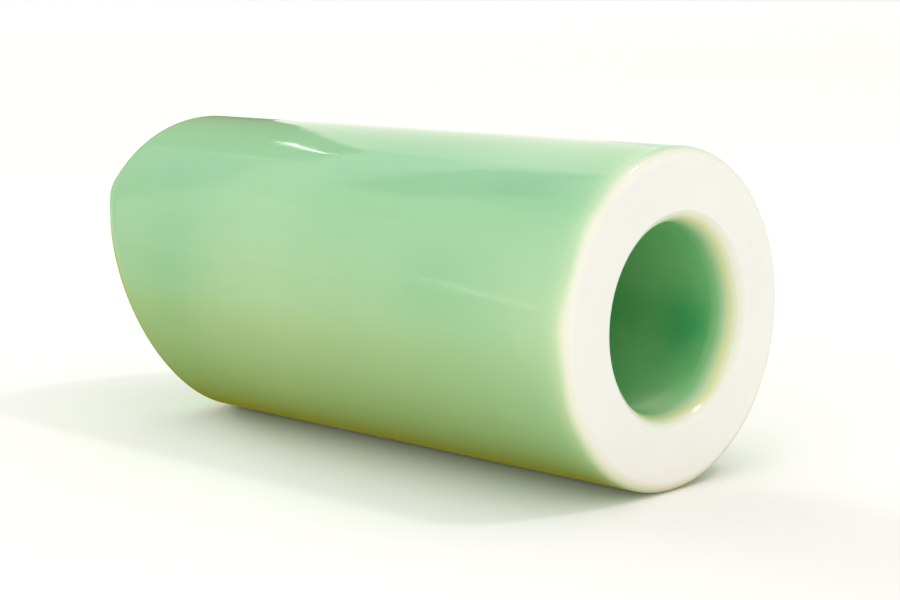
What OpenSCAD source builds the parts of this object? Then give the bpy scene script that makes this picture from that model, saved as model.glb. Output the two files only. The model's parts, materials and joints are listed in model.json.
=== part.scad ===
// Porcelain guitar slide with a knuckle-relief cut.
//
// The slide is one thick-walled tube of fired porcelain under a green glaze, worn on a finger.
// Its bore runs along X through the origin, and its flat unglazed foot ring faces +X.
// The far end (-X) is half square and half cut away at a slant, to clear the player's knuckle.
// The glaze is a coat of its own over the porcelain: one on the barrel and one in the bore.
// Each piece is shaped upright, with its square end at z = 0 and its foot ring at the top,
// and is laid down along X at the end.

/* [Barrel] */
// Outside diameter of the glazed barrel
barrel_d = 32; // [29:0.5:36]
// Overall length along the bore
barrel_l = 69.5; // [60:0.5:80]
// Rounding of the outer edge beside the foot ring
foot_round = 1.2; // [0.8:0.1:2]
// Rounding of the outer rim around the cut end
rim_round = 3.5; // [2:0.1:4]

/* [Bore] */
// Diameter of the glazed bore, which takes a finger
bore_d = 17.8; // [16:0.1:20]
// Rounding of the lip where the bore meets the cut end
lip_round = 1.3; // [1:0.1:2]
// How much wider the mouth in the foot is than the bore, on each side
flare_w = 1.3; // [0.8:0.1:2]
// How deep the flare of that mouth reaches into the bore
flare_l = 2.4; // [2:0.1:4]

/* [Knuckle cut] */
// Slant of the cut face against the square end, in degrees
cut_angle = 33; // [28:1:38]
// How far past the bore's axis the slant starts
cut_start = 1.5; // [0:0.5:5]
// Which way the cut faces around the barrel, in degrees from straight up towards -Y
cut_roll = 139; // [0:1:359]

/* [Glaze] */
// Thickness of the glaze
glaze_t = 0.4; // [0.3:0.05:0.6]

/* [Hidden] */
$fn = 96;

barrel_r = barrel_d / 2;
bore_r = bore_d / 2;
// Outer and inner edge of the flat foot ring
ring_outer_r = barrel_r - foot_round;
ring_inner_r = bore_r + flare_w;
// The flare is an arc that leaves the bore's wall smoothly and ends at the ring's inner edge
flare_r = (flare_w * flare_w + flare_l * flare_l) / (2 * flare_w);
// How fast the cut face rises, and the way that it rises while the slide stands upright
cut_slope = tan(cut_angle);
cut_dir = [-cos(cut_roll), -sin(cut_roll)];
// The leaning shapes are this much clear of the upright ones, so no two sides run together
lean_gap = 0.05;
// How far a cutting shape reaches past what it cuts
past = 6;

porcelain_white = [0.95, 0.95, 0.91];
celadon = [0.67, 0.83, 0.67];
deep_celadon = [0.38, 0.58, 0.38];

// Shears a shape upwards, so that what was its level bottom lies in the plane of the cut
module lean()
    multmatrix([
        [1, 0, 0, 0],
        [0, 1, 0, 0],
        [cut_slope * cut_dir[0], cut_slope * cut_dir[1], 1, -cut_slope * cut_start],
        [0, 0, 0, 1]
    ]) children();

// Half section of what a rounding takes off a corner at the origin, with the solid up and left
module corner_waste(size)
    translate([-size, 0])
        difference() {
            translate([0, -1]) square([size + 1, size + 1]);
            translate([0, size]) circle(size);
        }

// Round bar from low to high, with its outer edges rounded
module bar(radius, low, high, low_round, high_round)
    rotate_extrude()
        difference() {
            translate([0, low]) square([radius, high - low]);
            translate([radius, low]) corner_waste(low_round);
            if (high_round > 0)
                translate([radius, high]) mirror([0, 1]) corner_waste(high_round);
        }

// The slide as if it had no bore. The inset is 0 for the glaze and glaze_t for the porcelain
module solid_slide(inset)
    intersection() {
        bar(barrel_r - inset, inset, barrel_l - inset, rim_round - inset, foot_round - inset);
        lean()
            bar(barrel_r - inset + lean_gap, inset / cos(cut_angle), 2 * barrel_l,
                rim_round - inset, 0);
    }

// Half section of a bore's open space with a rounded lip at its low end
module lipped_bore(radius, low, high, size)
    union() {
        translate([0, low - past]) square([radius, high - low + 2 * past]);
        difference() {
            translate([0, low - past]) square([radius + size, size + past]);
            translate([radius + size, low + size]) circle(size);
        }
    }

// Half section of the space in the flared mouth, which is open above the foot
module flared_mouth(inset)
    translate([0, barrel_l - flare_l])
        difference() {
            square([bore_r + flare_r, flare_l + past]);
            translate([bore_r + flare_r, 0]) circle(flare_r - inset);
        }

// Open space of the whole bore: the upright bore, and the rounded lip in the cut face
module bore_space(inset)
    union() {
        rotate_extrude() {
            lipped_bore(bore_r + inset, inset, barrel_l, lip_round - inset);
            flared_mouth(inset);
        }
        lean()
            rotate_extrude()
                lipped_bore(bore_r + inset - lean_gap, inset / cos(cut_angle), 2 * barrel_l,
                            lip_round - inset);
    }

// Bare flat ring that the slide stood on in the kiln, level with the glaze on both sides of it
module foot_ring()
    translate([0, 0, barrel_l - 2 * glaze_t])
        linear_extrude(2 * glaze_t)
            difference() {
                circle(ring_outer_r);
                circle(ring_inner_r);
            }

module porcelain_shape() {
    difference() {
        solid_slide(glaze_t);
        bore_space(glaze_t);
    }
    foot_ring();
}

// Glaze inside the foot ring's inner edge belongs to the bore, and all the rest to the barrel
module bore_side()
    translate([0, 0, -past]) cylinder(r = ring_inner_r, h = barrel_l + 2 * past);

// Turns an upright piece so that its foot faces +X, with the middle of the bore at the origin
module lay_down()
    translate([-barrel_l / 2, 0, 0]) rotate([0, 90, 0]) children();

module porcelain_body()
    color(porcelain_white) lay_down() porcelain_shape();

module barrel_glaze()
    color(celadon) lay_down()
        difference() {
            solid_slide(0);
            porcelain_shape();
            bore_side();
        }

module bore_glaze()
    color(deep_celadon) lay_down()
        difference() {
            intersection() {
                solid_slide(0);
                bore_side();
            }
            porcelain_shape();
            bore_space(0);
        }

porcelain_body();
barrel_glaze();
bore_glaze();
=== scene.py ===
"""Looks of the porcelain guitar slide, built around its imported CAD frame.

The slide is one surface of revolution whose far end is cut at a slant. It is built as a grid of points.
Its rows follow the half section all the way round: foot ring, barrel, cut end, bore. Its columns go round
the bore. The glaze coats and the porcelain under them are three closed bands of that grid.
"""

import json
import math

import bpy
import numpy as np
from mathutils import Matrix, Vector


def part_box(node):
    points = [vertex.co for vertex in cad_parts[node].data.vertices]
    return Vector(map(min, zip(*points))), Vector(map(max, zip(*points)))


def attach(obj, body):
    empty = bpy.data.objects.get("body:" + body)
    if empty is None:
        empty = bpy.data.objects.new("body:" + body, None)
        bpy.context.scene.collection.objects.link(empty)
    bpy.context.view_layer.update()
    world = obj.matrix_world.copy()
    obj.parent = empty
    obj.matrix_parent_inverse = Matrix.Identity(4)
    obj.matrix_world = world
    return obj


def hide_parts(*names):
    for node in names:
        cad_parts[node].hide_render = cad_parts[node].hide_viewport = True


MM = 0.001

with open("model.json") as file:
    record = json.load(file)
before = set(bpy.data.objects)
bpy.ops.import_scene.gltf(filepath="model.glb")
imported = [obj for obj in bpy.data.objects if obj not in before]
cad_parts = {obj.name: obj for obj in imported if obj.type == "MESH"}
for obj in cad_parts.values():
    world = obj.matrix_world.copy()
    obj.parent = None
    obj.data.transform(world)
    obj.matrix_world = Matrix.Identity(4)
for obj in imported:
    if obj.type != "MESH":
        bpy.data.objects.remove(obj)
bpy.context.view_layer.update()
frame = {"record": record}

# Dimensions that the frame gives
BARREL_LOW, BARREL_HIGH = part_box("barrel_glaze")
BARREL_R = (BARREL_HIGH.z - BARREL_LOW.z) / 2
FAR_X = BARREL_LOW.x
FOOT_X = BARREL_HIGH.x
MOUNTS = {mount["name"]: mount for mount in frame["record"]["mounts"]}
BORE_R = MOUNTS["finger_bore"]["dims"]["r_mm"] * MM

# Dimensions that part.scad also holds
FOOT_ROUND = 1.2 * MM
RIM_ROUND = 3.5 * MM
LIP_ROUND = 1.3 * MM
FLARE_W = 1.3 * MM
FLARE_L = 2.4 * MM
FLARE_R = (FLARE_W**2 + FLARE_L**2) / (2 * FLARE_W)
GLAZE_T = 0.4 * MM
CUT_SLOPE = math.tan(math.radians(33))
CUT_START = 1.5 * MM
CUT_ROLL = math.radians(139)

RIDGE_SOFT = 0.5 * MM  # how far the glaze rounds the ridge between the square end and the cut
SHARP_EDGE = math.radians(40)  # smooth shading stops where faces turn by more than this

# Columns and rows of the grid of points
COLUMNS = 288
SIDE_ROWS = 72
ARC_ROWS = 16
CAP_ROWS = 22
RING_ROWS = 8
FILLET_TRIES = 12  # rounds of settling where a fillet touches the cut

rng = np.random.default_rng(12)


def smooth_step(low, high, value):
    """0 below low, 1 above high, with level ends."""
    t = np.clip((value - low) / (high - low), 0.0, 1.0)
    return t * t * (3 - 2 * t)


# --------------------------------------------------------------------------------------- shape


def cut_height(radius, angle):
    """How far the end stands in from FAR_X at a radius and an angle, and its slope there."""
    across = CUT_SLOPE * (radius * np.cos(angle - CUT_ROLL) - CUT_START)
    slope = CUT_SLOPE * np.cos(angle - CUT_ROLL)
    blend = np.clip((across + RIDGE_SOFT) / (2 * RIDGE_SOFT), 0.0, 1.0)
    height = np.where(across > RIDGE_SOFT, across, RIDGE_SOFT * blend**2)
    return height, slope * blend


def end_fillet(angle, wall_r, size, side):
    """Centre, touching radius and lean of the arc between the end and a wall: barrel (1) or bore (-1)."""
    centre_r = wall_r - side * size
    touch_r = np.full_like(angle, centre_r)
    for _ in range(FILLET_TRIES):
        height, slope = cut_height(touch_r, angle)
        lean = np.arctan(slope)
        touch_r = centre_r + size * np.sin(lean)
    centre_x = FAR_X + height + size * np.cos(lean)
    return centre_r, centre_x, touch_r, lean


def half_section(angle):
    """Rows of (radius, x) for every column, from the foot ring's outer edge round to that edge again."""
    rows, marks = [], {}

    def arc(centre_r, centre_x, size, start, stop, count, skip_first=True):
        for t in np.linspace(0, 1, count + 1)[int(skip_first) :]:
            turn = start + (stop - start) * t
            rows.append((centre_r + size * np.cos(turn), centre_x + size * np.sin(turn)))

    zero = np.zeros_like(angle)
    quarter = math.pi / 2
    marks["barrel"] = 0
    arc(BARREL_R - FOOT_ROUND, zero + FOOT_X - FOOT_ROUND, FOOT_ROUND, quarter, 0, ARC_ROWS, False)
    centre_r, centre_x, touch_r, lean = end_fillet(angle, BARREL_R, RIM_ROUND, 1)
    for t in np.linspace(0, 1, SIDE_ROWS + 1)[1:]:
        rows.append((zero + BARREL_R, (FOOT_X - FOOT_ROUND) * (1 - t) + centre_x * t))
    marks["rim"] = len(rows) - 1
    arc(centre_r, centre_x, RIM_ROUND, zero, lean - quarter, ARC_ROWS)
    lip_r, lip_x, lip_touch_r, lip_lean = end_fillet(angle, BORE_R, LIP_ROUND, -1)
    for t in np.linspace(0, 1, CAP_ROWS + 1)[1:]:
        radius = touch_r * (1 - t) + lip_touch_r * t
        rows.append((radius, FAR_X + cut_height(radius, angle)[0]))
    marks["bore"] = len(rows) - 1
    arc(lip_r, lip_x, LIP_ROUND, lip_lean - quarter, zero - math.pi, ARC_ROWS)
    for t in np.linspace(0, 1, SIDE_ROWS + 1)[1:]:
        rows.append((zero + BORE_R, lip_x * (1 - t) + (FOOT_X - FLARE_L) * t))
    flare_stop = math.pi - math.asin(FLARE_L / FLARE_R)
    arc(BORE_R + FLARE_R, zero + FOOT_X - FLARE_L, FLARE_R, math.pi, flare_stop, ARC_ROWS)
    marks["ring"] = len(rows) - 1
    for t in np.linspace(0, 1, RING_ROWS + 1)[1:]:
        radius = (BORE_R + FLARE_W) * (1 - t) + (BARREL_R - FOOT_ROUND) * t
        rows.append((zero + radius, zero + FOOT_X))
    return rows, marks


def grid_points():
    """The whole surface as an array [row, column, xyz]. The last row repeats the first."""
    angle = np.linspace(0, 2 * math.pi, COLUMNS, endpoint=False)
    rows, marks = half_section(angle)
    radius = np.array([np.broadcast_to(r, angle.shape) for r, _ in rows])
    along = np.array([np.broadcast_to(x, angle.shape) for _, x in rows])
    points = np.stack([along, -radius * np.sin(angle), radius * np.cos(angle)], axis=-1)
    return points, marks


def grid_normals(points):
    """Outward unit normals of a grid that closes in both directions."""
    loop = points[:-1]
    down = np.roll(loop, -1, axis=0) - np.roll(loop, 1, axis=0)
    across = np.roll(loop, -1, axis=1) - np.roll(loop, 1, axis=1)
    normals = np.cross(down, across)
    normals /= np.linalg.norm(normals, axis=-1, keepdims=True)
    return np.concatenate([normals, normals[:1]])


def ripple(points, wavelength, waves):
    """Smooth random field between about -1 and 1, a sum of waves that run in all directions."""
    total = np.zeros(points.shape[:-1])
    for _ in range(waves):
        heading = rng.normal(size=3)
        heading *= 2 * math.pi / (wavelength * rng.uniform(0.7, 1.6)) / np.linalg.norm(heading)
        total += np.sin(points @ heading + rng.uniform(0, 2 * math.pi))
    return total / math.sqrt(waves)


def band_mesh(name, outer, inner, values):
    """A closed band: outer rows, then inner rows back again, joined along both edges."""
    loop = np.concatenate([outer, inner[::-1]])
    count = len(loop)
    columns = loop.shape[1]
    index = np.arange(count * columns).reshape(count, columns)
    after = np.roll(index, -1, axis=0)
    corners = [index, after, np.roll(after, -1, axis=1), np.roll(index, -1, axis=1)]
    quads = np.stack(corners, axis=-1)
    mesh = bpy.data.meshes.new(name)
    mesh.from_pydata(loop.reshape(-1, 3).tolist(), [], quads.reshape(-1, 4).tolist())
    mesh.validate()
    mesh.shade_smooth()
    for label, (outer_values, inner_values) in values.items():
        layer = mesh.attributes.new(label, "FLOAT", "POINT")
        flat = np.concatenate([outer_values, inner_values[::-1]]).reshape(-1)
        layer.data.foreach_set("value", flat.astype(np.float32))
    piece = bpy.data.objects.new(name, mesh)
    bpy.context.scene.collection.objects.link(piece)
    return piece


def mark_sharp_edges(piece):
    """Keeps shading smooth on the rounded glaze and crisp where two bands meet square."""
    piece.data.update()
    piece.data.set_sharp_from_angle(angle=SHARP_EDGE)


# ----------------------------------------------------------------------------------- materials


class Nodes:
    """Short way to add and link shader nodes in one material."""

    def __init__(self, material):
        material.use_nodes = True
        self.tree = material.node_tree
        self.tree.nodes.clear()

    def add(self, kind, inputs=None, **settings):
        node = self.tree.nodes.new(kind)
        for key, value in settings.items():
            setattr(node, key, value)
        for key, value in (inputs or {}).items():
            self.feed(node.inputs[key], value)
        return node

    def feed(self, socket, value):
        if isinstance(value, bpy.types.NodeSocket):
            self.tree.links.new(value, socket)
        else:
            socket.default_value = value

    def math(self, operation, *values, clamp=False):
        inputs = dict(enumerate(values))
        return self.add("ShaderNodeMath", inputs, operation=operation, use_clamp=clamp).outputs[0]

    def span(self, value, low, high, to_low=0.0, to_high=1.0, smooth=True):
        kind = "SMOOTHSTEP" if smooth else "LINEAR"
        inputs = {"Value": value, "From Min": low, "From Max": high}
        inputs.update({"To Min": to_low, "To Max": to_high})
        return self.add("ShaderNodeMapRange", inputs, interpolation_type=kind).outputs["Result"]

    def noise(self, place, scale, detail=2.0, roughness=0.5):
        inputs = {"Vector": place, "Scale": scale, "Detail": detail, "Roughness": roughness}
        return self.add("ShaderNodeTexNoise", inputs).outputs["Fac"]

    def mix(self, factor, first, second, blend="MIX"):
        node = self.add("ShaderNodeMix", data_type="RGBA", blend_type=blend)
        self.feed(node.inputs[0], factor)
        self.feed(node.inputs[6], first)
        self.feed(node.inputs[7], second)
        return node.outputs[2]

    def ramp(self, factor, stops):
        node = self.add("ShaderNodeValToRGB", {"Fac": factor})
        elements = node.color_ramp.elements
        elements[0].position, elements[0].color = stops[0][0], (*stops[0][1], 1)
        elements[1].position, elements[1].color = stops[-1][0], (*stops[-1][1], 1)
        for position, colour in stops[1:-1]:
            elements.new(position).color = (*colour, 1)
        return node.outputs["Color"]

    def finish(self, shader):
        self.tree.links.new(shader.outputs[0], self.add("ShaderNodeOutputMaterial").inputs[0])


WHITE_BODY = (0.89, 0.885, 0.83)
THIN_GLAZE = (0.80, 0.83, 0.66)
THIN_BORE_GLAZE = (0.74, 0.76, 0.41)
PALE_CELADON = (0.48, 0.71, 0.44)
CELADON = (0.315, 0.595, 0.34)
DEEP_CELADON = (0.24, 0.54, 0.295)
BORE_CELADON = (0.28, 0.66, 0.29)
# The bore's deepest colour shows mostly in its patches of painted shade.
POOL_AND_PAINTED_SHADE_CELADON = (0.10, 0.47, 0.18)
# Shares of a full coat at which the glaze has its five colours, from bare to pooled
COAT_STEPS = (0.0, 0.22, 0.5, 0.8, 1.0)
SPECK = (0.20, 0.30, 0.14, 1)
PORCELAIN_DARK = (0.88, 0.875, 0.82, 1)
PORCELAIN_LIGHT = (0.90, 0.895, 0.84, 1)
PORCELAIN_GRAIN = (0.80, 0.78, 0.68, 1)
CERAMIC_IOR = 1.5


def glaze_material(name, colours):
    """Celadon glaze. Its colour follows how thick the glaze is, which the mesh holds as an attribute; on
    the bore wall that attribute also holds patches of painted shade and painted light.
    """
    material = bpy.data.materials.new(name)
    n = Nodes(material)
    place = n.add("ShaderNodeTexCoord").outputs["Object"]
    thickness_and_painted_light = n.add("ShaderNodeAttribute", attribute_name="thickness_and_painted_light").outputs["Fac"]
    clouds = n.noise(place, 70.0, 3.0, 0.55)
    mottle = n.noise(place, 420.0, 4.0, 0.6)
    run = n.math("MULTIPLY_ADD", n.math("SUBTRACT", clouds, 0.5), 0.10, thickness_and_painted_light)
    run = n.math("MULTIPLY_ADD", n.math("SUBTRACT", mottle, 0.5), 0.05, run)
    colour = n.ramp(run, list(zip(COAT_STEPS, colours)))
    specks = n.add("ShaderNodeTexVoronoi", {"Vector": place, "Scale": 160.0, "Randomness": 1.0})
    rarity = n.add("ShaderNodeSeparateColor", {"Color": specks.outputs["Color"]}).outputs[0]
    spot = n.span(specks.outputs["Distance"], 0.035, 0.075, 1.0, 0.0)
    spot = n.math("MULTIPLY", spot, n.math("GREATER_THAN", rarity, 0.93))
    spot = n.math("MULTIPLY", spot, n.span(thickness_and_painted_light, 0.3, 0.9, 0.0, 0.30))
    colour = n.mix(spot, colour, SPECK)
    sheen = n.span(n.noise(place, 180.0, 2.0), 0.3, 0.7, 0.045, 0.085)
    sheen = n.math("ADD", sheen, n.span(thickness_and_painted_light, 0.0, 0.25, 0.32, 0.0))
    peel = n.noise(place, 330.0, 2.0, 0.4)
    bump = n.add("ShaderNodeBump", {"Strength": 0.10, "Distance": 0.0001, "Height": peel})
    inputs = {
        "Base Color": colour,
        "Roughness": sheen,
        "IOR": CERAMIC_IOR,
        "Normal": bump.outputs[0],
    }
    n.finish(n.add("ShaderNodeBsdfPrincipled", inputs))
    return material


def porcelain_material():
    """Bare fired porcelain: warm white, satin, with a faint grain."""
    material = bpy.data.materials.new("bare_porcelain")
    n = Nodes(material)
    place = n.add("ShaderNodeTexCoord").outputs["Object"]
    grain = n.noise(place, 900.0, 3.0, 0.6)
    cloud = n.noise(place, 110.0, 2.0)
    colour = n.mix(n.span(cloud, 0.3, 0.7), PORCELAIN_DARK, PORCELAIN_LIGHT)
    colour = n.mix(n.span(grain, 0.62, 0.75, 0.0, 0.25), colour, PORCELAIN_GRAIN)
    bump = n.add("ShaderNodeBump", {"Strength": 0.15, "Distance": 0.00005, "Height": grain})
    inputs = {
        "Base Color": colour,
        "Roughness": n.span(grain, 0.3, 0.7, 0.32, 0.45),
        "IOR": CERAMIC_IOR,
        "Normal": bump.outputs[0],
    }
    n.finish(n.add("ShaderNodeBsdfPrincipled", inputs))
    return material


# -------------------------------------------------------------------------------------- pieces

points, marks = grid_points()
normals = grid_normals(points)
inner = points - normals * GLAZE_T

from_foot = FOOT_X - points[..., 0]
angle = np.arctan2(-points[..., 1], points[..., 2])


WALL_REACH = 2 * MM  # a patch stays on points this close to its wall's radius


def row_bell(first, count):
    """1 half way along a run of rows and 0 at its ends and beyond."""
    along = (np.arange(len(points)) - first) / count
    return (np.sin(math.pi * np.clip(along, 0, 1)) ** 2)[:, None]


def coat_patch(wall_r, x, around, length, width):
    """A soft patch on a wall, at a place along it and an angle round it, where the glaze is made thicker
    or thinner; on the bore wall such patches are painted shade and painted light.
    """
    off_angle = np.angle(np.exp(1j * (angle - math.radians(around)))) * wall_r
    on_wall = np.abs(np.hypot(points[..., 1], points[..., 2]) - wall_r) < WALL_REACH
    return np.exp(-(((points[..., 0] - x) / length) ** 2) - (off_angle / width) ** 2) * on_wall


# The glaze is wiped off the foot, and fades out there over a length that wanders a little
FULL_COAT = 0.82
BARREL_FADE = 1.1 * MM
BORE_FADE = (-0.3 * MM, 3.4 * MM)
on_barrel = np.arange(len(points))[:, None] < marks["bore"]
wander = 0.2 * MM * ripple(points, 9 * MM, 10)
edge = np.maximum(from_foot + wander * smooth_step(0, 1 * MM, from_foot), 0)
coat_and_painted_light = FULL_COAT * np.where(on_barrel, 1 - np.exp(-edge / BARREL_FADE), smooth_step(*BORE_FADE, edge))
coat_and_painted_light += 0.04 * ripple(points, 22 * MM, 10) * smooth_step(1 * MM, 5 * MM, from_foot)

# It breaks thin over the far rim and the far lip
coat_and_painted_light -= 0.25 * row_bell(marks["rim"], ARC_ROWS)
coat_and_painted_light -= 0.30 * row_bell(marks["bore"], ARC_ROWS)

# Soft patches where the glaze is thicker or thinner: how much thicker, wall, x in mm, angle, length and
# width in mm. On the bore wall the two thicker patches are painted shade and the thinner one a painted
# patch of light.
COAT_PATCHES_AND_PAINTED_LIGHT = (
    (0.14, BARREL_R, -19, 82, 5, 8),
    (0.08, BARREL_R, 18, 76, 4, 4),
    (0.18, BARREL_R, 26, 43, 8, 2.5),
    (-0.10, BARREL_R, 30, 82, 4, 5),
    # Bore wall: two darker patches that paint shade across the middle of the bore, and a thinner one that
    # paints the lit crescent low in the bore.
    (0.20, BORE_R, 29.0, -104, 3, 4),
    (0.14, BORE_R, 21.0, -98, 7, 3),
    (-0.38, BORE_R, 30.0, -167, 2.5, 2.5),
)
for amount, wall_r, x, around, length, width in COAT_PATCHES_AND_PAINTED_LIGHT:
    coat_and_painted_light += amount * coat_patch(wall_r, x * MM, around, length * MM, width * MM)

# The glaze's surface is not quite true: it rolls by a few hundredths of a millimetre
roll = 0.010 * MM * ripple(points, 15 * MM, 14) + 0.0015 * MM * ripple(points, 5 * MM, 14)
roll *= smooth_step(0.2 * MM, 3 * MM, from_foot)
points = points + normals * roll[..., None]


def band(first, last):
    """The rows from first to last, with both."""
    return slice(first, last + 1)


barrel_rows = band(marks["barrel"], marks["bore"])
bore_rows = band(marks["bore"], marks["ring"])
ring_rows = band(marks["ring"], len(points) - 1)

barrel_coat = (coat_and_painted_light[barrel_rows], coat_and_painted_light[barrel_rows])
bore_coat_and_painted_light = (coat_and_painted_light[bore_rows], coat_and_painted_light[bore_rows])
barrel = band_mesh("glazed_barrel", points[barrel_rows], inner[barrel_rows], {"thickness_and_painted_light": barrel_coat})
bore = band_mesh("glazed_bore", points[bore_rows], inner[bore_rows], {"thickness_and_painted_light": bore_coat_and_painted_light})
under_glaze = np.concatenate([inner[barrel_rows], inner[bore_rows][1:]])
body = band_mesh("porcelain_tube", points[ring_rows], under_glaze[::-1], {})

barrel_colours = (WHITE_BODY, THIN_GLAZE, PALE_CELADON, CELADON, DEEP_CELADON)
bore_colours = (WHITE_BODY, THIN_BORE_GLAZE, PALE_CELADON, BORE_CELADON, POOL_AND_PAINTED_SHADE_CELADON)
barrel.data.materials.append(glaze_material("celadon_barrel", barrel_colours))
bore.data.materials.append(glaze_material("celadon_bore", bore_colours))
body.data.materials.append(porcelain_material())

for piece, node in ((barrel, "barrel_glaze"), (bore, "bore_glaze"), (body, "porcelain_body")):
    mark_sharp_edges(piece)
    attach(piece, "root")
    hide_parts(node)

# --------------------------------------------------------------------------------------- stage

FLOOR_Z = -BARREL_R
FLOOR_R = 18.0
NEAR_R = 0.30  # light bounces off a warm table top inside this radius, and off paper beyond it
BOUNCE_Z = FLOOR_Z - 0.05 * MM
MIRRORED_Z = FLOOR_Z - 0.10 * MM
CIRCLE_SIDES = 96
BOW_STEPS = 12
PAPER = (0.93, 0.925, 0.905, 1)
DOME = (0.90, 0.887, 0.864, 1)

# The table top beside the slide, around it and far away: as it lights the glaze, and as it is mirrored.
# The dark colours beside the slide are painted contact shadow.
PAINTED_BOUNCE_COLOURS = ((0.62, 0.42, 0.002, 1), (1.00, 0.60, 0.29, 1), PAPER)
PAINTED_REFLECTION_COLOURS = ((0.24, 0.20, 0.00, 1), (0.98, 0.64, 0.20, 1), DOME)
BOUNCE_REACH = 0.60
MIRRORED_REACH = 0.08


def heading(azimuth, elevation):
    """Unit vector towards a direction. Azimuth 0 is -Y, and 90 is +X."""
    a, e = math.radians(azimuth), math.radians(elevation)
    return Vector((math.sin(a) * math.cos(e), -math.cos(a) * math.cos(e), math.sin(e)))


def aim(thing, target):
    """Points a light or camera at a place."""
    thing.rotation_euler = (target - thing.location).to_track_quat("-Z", "Y").to_euler()


def stage_mesh(name, corners, faces, material):
    """A flat sheet of the studio, which is no piece of the slide."""
    mesh = bpy.data.meshes.new(name)
    mesh.from_pydata(corners, [], faces)
    mesh.materials.append(material)
    thing = bpy.data.objects.new(name, mesh)
    bpy.context.scene.collection.objects.link(thing)
    return thing


def circle(radius, height):
    """Corners of a level circle round the origin."""
    turns = [2 * math.pi * i / CIRCLE_SIDES for i in range(CIRCLE_SIDES)]
    return [(radius * math.cos(t), radius * math.sin(t), height) for t in turns]


def paper_material():
    """Plain pale studio paper."""
    material = bpy.data.materials.new("studio_paper")
    n = Nodes(material)
    n.finish(n.add("ShaderNodeBsdfDiffuse", {"Color": PAPER}))
    return material


def painted_table_light_material(name, colours, reach, shader):
    """Warm table top. It is deepest beside the slide, where the dark colour is painted contact shadow,
    and pales by its reach and past the foot ring.
    """
    material = bpy.data.materials.new(name)
    n = Nodes(material)
    beside, around, away = colours
    place = n.add("ShaderNodeSeparateXYZ", {0: n.add("ShaderNodeTexCoord").outputs["Object"]})
    off_line = n.math("ABSOLUTE", place.outputs["Y"])
    colour = n.mix(n.span(off_line, 0.008, 0.050), beside, around)
    colour = n.mix(n.span(off_line, reach / 3, reach), colour, away)
    past_foot = n.span(place.outputs["X"], FOOT_X - 6 * MM, FOOT_X + 6 * MM)
    colour = n.mix(past_foot, colour, away)
    n.finish(n.add(shader, {"Color": colour}))
    return material


def floor():
    """Paper floor. Only the camera sees its middle: light and mirrors meet warm discs just under it."""
    count = CIRCLE_SIDES
    paper = paper_material()
    around = circle(NEAR_R, FLOOR_Z)
    far = circle(FLOOR_R, FLOOR_Z)
    ring = [(count + i, count + (i + 1) % count, (i + 1) % count, i) for i in range(count)]
    disc = [tuple(range(count))]
    outer = stage_mesh("floor", around + far, ring, paper)
    outer.visible_glossy = False
    middle = stage_mesh("floor_middle", around, disc, paper)
    middle.visible_diffuse = False
    middle.visible_glossy = False
    middle.visible_shadow = False
    # The bounce disc's colour darkens beside the slide: painted contact shadow in the light it throws
    # onto the glaze.
    bounce_look = painted_table_light_material("painted_table_bounce", PAINTED_BOUNCE_COLOURS, BOUNCE_REACH, "ShaderNodeBsdfDiffuse")
    bounce = stage_mesh("painted_table_bounce", circle(NEAR_R, BOUNCE_Z), disc, bounce_look)
    bounce.visible_camera = False
    bounce.visible_glossy = False
    # The mirrored disc glows though it is no lamp: a painted reflection of the lit table, with painted
    # contact shadow beside the slide.
    mirror_look = painted_table_light_material("painted_table_reflection", PAINTED_REFLECTION_COLOURS, MIRRORED_REACH, "ShaderNodeEmission")
    mirrored = stage_mesh("painted_table_reflection", circle(FLOOR_R, MIRRORED_Z), disc, mirror_look)
    mirrored.visible_camera = False
    mirrored.visible_diffuse = False
    mirrored.visible_shadow = False


def card_material(name, softness, glow):
    """Card that glows faintly in one colour and fades out towards its edges."""
    material = bpy.data.materials.new(name)
    n = Nodes(material)
    inside = n.add("ShaderNodeAttribute", attribute_name="inside").outputs["Fac"]
    clear = n.add("ShaderNodeBsdfTransparent")
    face = n.add("ShaderNodeEmission", {"Color": (*glow, 1), "Strength": 1.0})
    shader = n.add("ShaderNodeMixShader", {0: n.span(inside, 0.0, softness)})
    n.tree.links.new(clear.outputs[0], shader.inputs[1])
    n.tree.links.new(face.outputs[0], shader.inputs[2])
    n.finish(shader)
    return material


def bowed_edge(start, end, bow):
    """Points from start up to, and without, end. The edge bows out to its right by bow at its middle."""
    start, end = Vector(start), Vector(end)
    along = end - start
    out = Vector((along.y, -along.x)).normalized()
    steps = [i / BOW_STEPS for i in range(BOW_STEPS)]
    return [tuple(start + along * t + out * bow * 4 * t * (1 - t)) for t in steps]


def card(name, outline, middle, softness, glow, overhead=False):
    """A card that only the glaze reflects. It is a fan of faces from its middle, as (y, z) or (x, y)."""
    flat = [*outline, middle]
    corners = [(x, y, OVERHEAD) for x, y in flat] if overhead else [(CARD_X, y, z) for y, z in flat]
    count = len(outline)
    faces = [(i, (i + 1) % count, count) for i in range(count)]
    sheet = stage_mesh(name, corners, faces, card_material(name, softness, glow))
    layer = sheet.data.attributes.new("inside", "FLOAT", "POINT")
    layer.data.foreach_set("value", [0.0] * count + [1.0])
    sheet.visible_camera = False
    sheet.visible_diffuse = False
    sheet.visible_shadow = False


def area_light(name, width, height, radiance):
    """A rectangular lamp of an even radiance, which the camera never sees."""
    lamp = bpy.data.lights.new(name, "AREA")
    lamp.shape = "RECTANGLE"
    lamp.size, lamp.size_y = width, height
    lamp.energy = radiance * math.pi * width * height
    light = bpy.data.objects.new(name, lamp)
    bpy.context.scene.collection.objects.link(light)
    light.visible_camera = False
    return light


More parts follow.
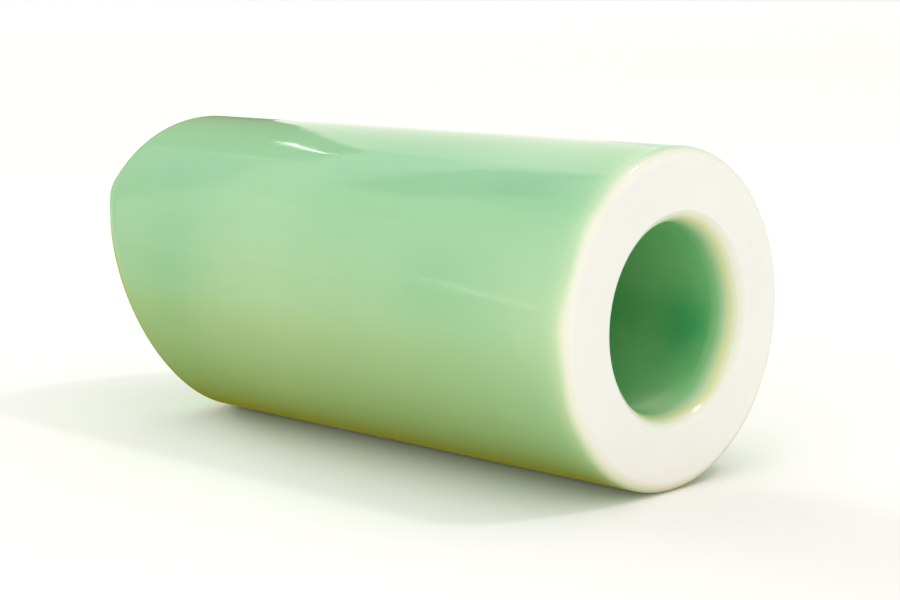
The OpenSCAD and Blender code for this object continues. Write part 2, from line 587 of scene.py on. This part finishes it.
def softbox(name, place, size, radiance, colour=(1, 1, 1), mirror=True, bathe=True):
    """A lamp that faces the slide from a place (azimuth, elevation, distance).

    mirror: the glaze shows it. bathe: it lights matt surfaces.
    """
    azimuth, elevation, distance = place
    box = area_light(name, *size, radiance)
    box.data.color = colour
    box.location = heading(azimuth, elevation) * distance
    aim(box, Vector((0, 0, 0)))
    box.visible_glossy = mirror
    box.visible_diffuse = bathe


def strip_light(name, start, end, width, radiance):
    """A thin tube of light between two places, which only the glaze shows."""
    start, end = Vector(start), Vector(end)
    tube = area_light(name, width, (end - start).length, radiance)
    middle = (start + end) / 2
    long_way = (end - start).normalized()
    back = middle.normalized()
    side = long_way.cross(back).normalized()
    back = side.cross(long_way)
    turn = Matrix((side, long_way, back)).transposed().to_4x4()
    tube.matrix_world = Matrix.Translation(middle) @ turn
    tube.visible_diffuse = False


def studio_dome():
    """An even pale dome all round."""
    sky = bpy.data.worlds.new("studio")
    bpy.context.scene.world = sky
    sky.use_nodes = True
    background = sky.node_tree.nodes["Background"]
    background.inputs["Color"].default_value = DOME
    background.inputs["Strength"].default_value = 1.0


CARD_X = -0.40  # cards past the cut end stand in this plane
OVERHEAD = 0.40  # a card over the slide lies at this height
CARD_FOOT = -0.01
GLINT_X = CARD_X + 0.01

# The wedge card rises from its foot and rounds over to its tip. The side card carries it on.
WEDGE_TIP = (0.175, 0.36)
WEDGE_END = 0.01
WEDGE = [
    (0.345, CARD_FOOT), *bowed_edge((0.32, 0.15), WEDGE_TIP, 0.017), WEDGE_TIP,
    (0.05, 0.375), (WEDGE_END, 0.35), (WEDGE_END, CARD_FOOT),
]
SIDE_TOP = (0.06, 0.375)
SIDE_END = (-0.21, 0.24)
WEDGE_SIDE = [
    *bowed_edge(SIDE_TOP, SIDE_END, 0.038), SIDE_END,
    (SIDE_END[0], CARD_FOOT), (SIDE_TOP[0], CARD_FOOT),
]
STREAK = [(-0.425, -0.10), (-0.34, 0.17), (-0.28, 0.17), (-0.29, -0.03), (-0.37, -0.14), (-0.40, -0.14)]

floor()
studio_dome()

softbox("left_softbox", (-60, 22, 0.70), (0.90, 0.36), 0.25, (0.80, 0.60, 1.0), bathe=False)
softbox("back_softbox", (-131, 26, 0.70), (0.30, 0.62), 0.3, (1.0, 0.60, 0.50), bathe=False)
softbox("front_softbox", (5, 8, 16.0), (10.0, 10.0), 2.8, mirror=False)
softbox("far_softbox", (-98, 8, 16.0), (8.0, 8.0), 11.5, mirror=False)
softbox("mouth_light", (130, 60, 0.60), (0.06, 0.06), 38.0)

card("wedge_card", WEDGE, (0.18, 0.22), 0.01, (0.26, 0.26, 0.14))
card("wedge_side_card", WEDGE_SIDE, (-0.085, 0.24), 0.25, (0.36, 0.33, 0.48))
card("streak_card", STREAK, (-0.355, 0.0), 0.45, (0.14, 0.10, 0.25), overhead=True)

strip_light("wedge_glint", (GLINT_X, 0.175, 0.300), (GLINT_X, 0.125, 0.350), 0.0016, 16.0)
strip_light("faint_line", (CARD_X, -0.435, 0.135), (CARD_X, -0.520, 0.055), 0.008, 1.8)

# -------------------------------------------------------------------------------------- camera

CAMERA_AZIMUTH = 43.56
CAMERA_ELEVATION = 8.70
CAMERA_DISTANCE = 205.35 * MM
AIM_OFFSET = (3.23 * MM, 2.72 * MM, -1.65 * MM)
LENS = 79.64


def camera():
    """The camera of the main view."""
    lens = bpy.data.cameras.new("camera")
    lens.lens = LENS
    lens.sensor_width = 36
    lens.clip_start, lens.clip_end = 0.01, 20
    eye = bpy.data.objects.new("camera", lens)
    bpy.context.scene.collection.objects.link(eye)
    target = Vector(AIM_OFFSET)
    eye.location = target + heading(CAMERA_AZIMUTH, CAMERA_ELEVATION) * CAMERA_DISTANCE
    aim(eye, target)
    bpy.context.scene.camera = eye


camera()
bpy.context.scene.view_settings.view_transform = "Standard"
